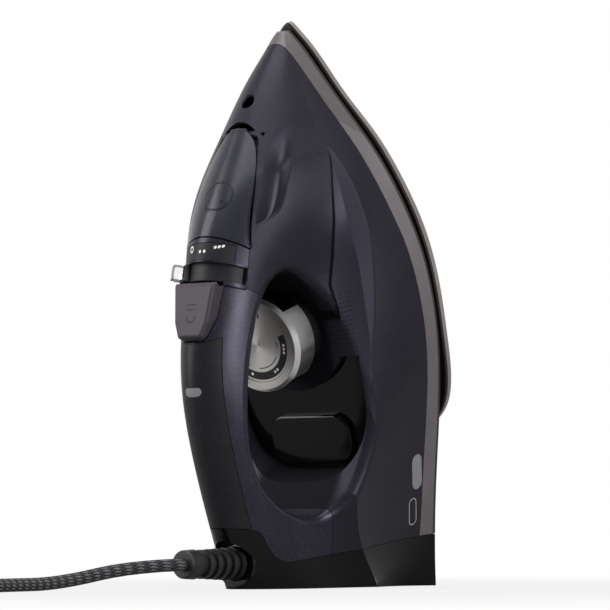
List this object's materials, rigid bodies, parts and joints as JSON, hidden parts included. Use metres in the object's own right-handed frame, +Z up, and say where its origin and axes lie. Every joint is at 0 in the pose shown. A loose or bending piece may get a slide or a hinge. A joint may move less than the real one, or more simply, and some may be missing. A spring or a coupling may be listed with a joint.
{
  "type": "steam iron",
  "caption": "Steam iron standing on its heel with handle, water door, steam slider, trigger, temperature dial and a coiled mains lead.",
  "frame": {"origin": "on the floor in the mirror plane, under the middle of the heel's flat face", "axes": "+Z up as the iron stands on its heel, tip uppermost; +X towards the sole, -X towards the handle; -Y is the iron's right side"},
  "size_m": [0.4746, 0.1595, 0.3009],
  "materials": {
    "sole_metal": "satin champagne-grey coated plate",
    "cast_alloy": "raw cast",
    "steel": "plain",
    "shield_dark": "matt, heat resistant",
    "trim_grey": "satin metallic",
    "shell_dark": "semi-gloss",
    "handle_violet": "fine metallic, semi-gloss",
    "strip_charcoal": "matt",
    "gloss_black": "gloss",
    "smoky_clear": "smoky translucent plastic",
    "clear_tab": "clear plastic",
    "button_grey": "soft matt",
    "dial_metal": "radially brushed",
    "inner_white": "plain moulded",
    "board_green": "plain",
    "relief_rubber": "matt",
    "cord_braid": "woven grey and black braid",
    "tie_black": "matt",
    "pin_brass": "nickel plated"
  },
  "bodies": {
    "iron": {"soleplate": "sole_metal", "sole_casting": "cast_alloy", "heating_element": "steel", "chamber_cover": "steel", "sole_screws": "steel", "thermostat": "inner_white", "thermal_fuse": "steel", "heat_shield": "shield_dark", "rear_screws": "steel", "skirt_trim": "trim_grey", "main_housing": "shell_dark", "heel_cover": "gloss_black", "handle_shell": "handle_violet", "handle_cover": "strip_charcoal", "indicator_lens": "smoky_clear", "control_band": "strip_charcoal", "slider_track": "gloss_black", "door_pin": "steel", "filler_neck": "gloss_black", "spray_nozzle": "gloss_black", "pump_barrel": "inner_white", "pump_spring": "steel", "pump_hose": "inner_white", "deck_cover": "gloss_black", "water_tank": "smoky_clear", "dosing_valve": "inner_white", "indicator_board": "board_green", "lead_wires": "cord_braid", "terminal_block": "inner_white", "cord_clamp": "inner_white", "socket_ring": "gloss_black", "mains_cord": "cord_braid", "cord_coil": "cord_braid", "cord_tie": "tie_black", "plug_body": "relief_rubber", "plug_pins": "pin_brass"},
    "dial": {"dial_knob": "dial_metal", "dial_face": "dial_metal", "dial_spindle": "steel"},
    "slider": {"steam_slider": "clear_tab"},
    "trigger": {"trigger_button": "button_grey", "pump_plunger": "inner_white"},
    "door": {"water_door": "smoky_clear"},
    "collector": {"lime_collector": "gloss_black", "lime_strainer": "inner_white"},
    "relief": {"strain_relief": "relief_rubber"}
  },
  "joints": [
    {"name": "dial_turn", "type": "hinge", "parent": "iron", "child": "dial", "pos_m": [-0.02055, 0, 0.13205], "axis": [-0.9397, 0, -0.342], "range_deg": [0, 290]},
    {"name": "slider_turn", "type": "hinge", "parent": "iron", "child": "slider", "pos_m": [-0.066, 0, 0.15726], "axis": [0.225, 0, 0.9744], "range_deg": [0, 80]},
    {"name": "trigger_press", "type": "slide", "parent": "iron", "child": "trigger", "axis": [0.9397, 0, 0.342], "range_m": [0, 0.0035], "stiffness_N_per_m": 900, "springref_m": -0.004, "deforming": ["pump_spring"]},
    {"name": "door_hinge", "type": "hinge", "parent": "iron", "child": "door", "pos_m": [-0.04957, 0, 0.23444], "axis": [0, 1, 0], "range_deg": [0, 50]},
    {"name": "collector_pull", "type": "slide", "parent": "iron", "child": "collector", "axis": [-0.9397, 0, -0.342], "range_m": [0, 0.02]},
    {"name": "relief_swivel", "type": "hinge", "parent": "iron", "child": "relief", "pos_m": [-0.043, 0, 0.013], "axis": [1, 0, 0], "range_deg": [-180, 180]}
  ]
}
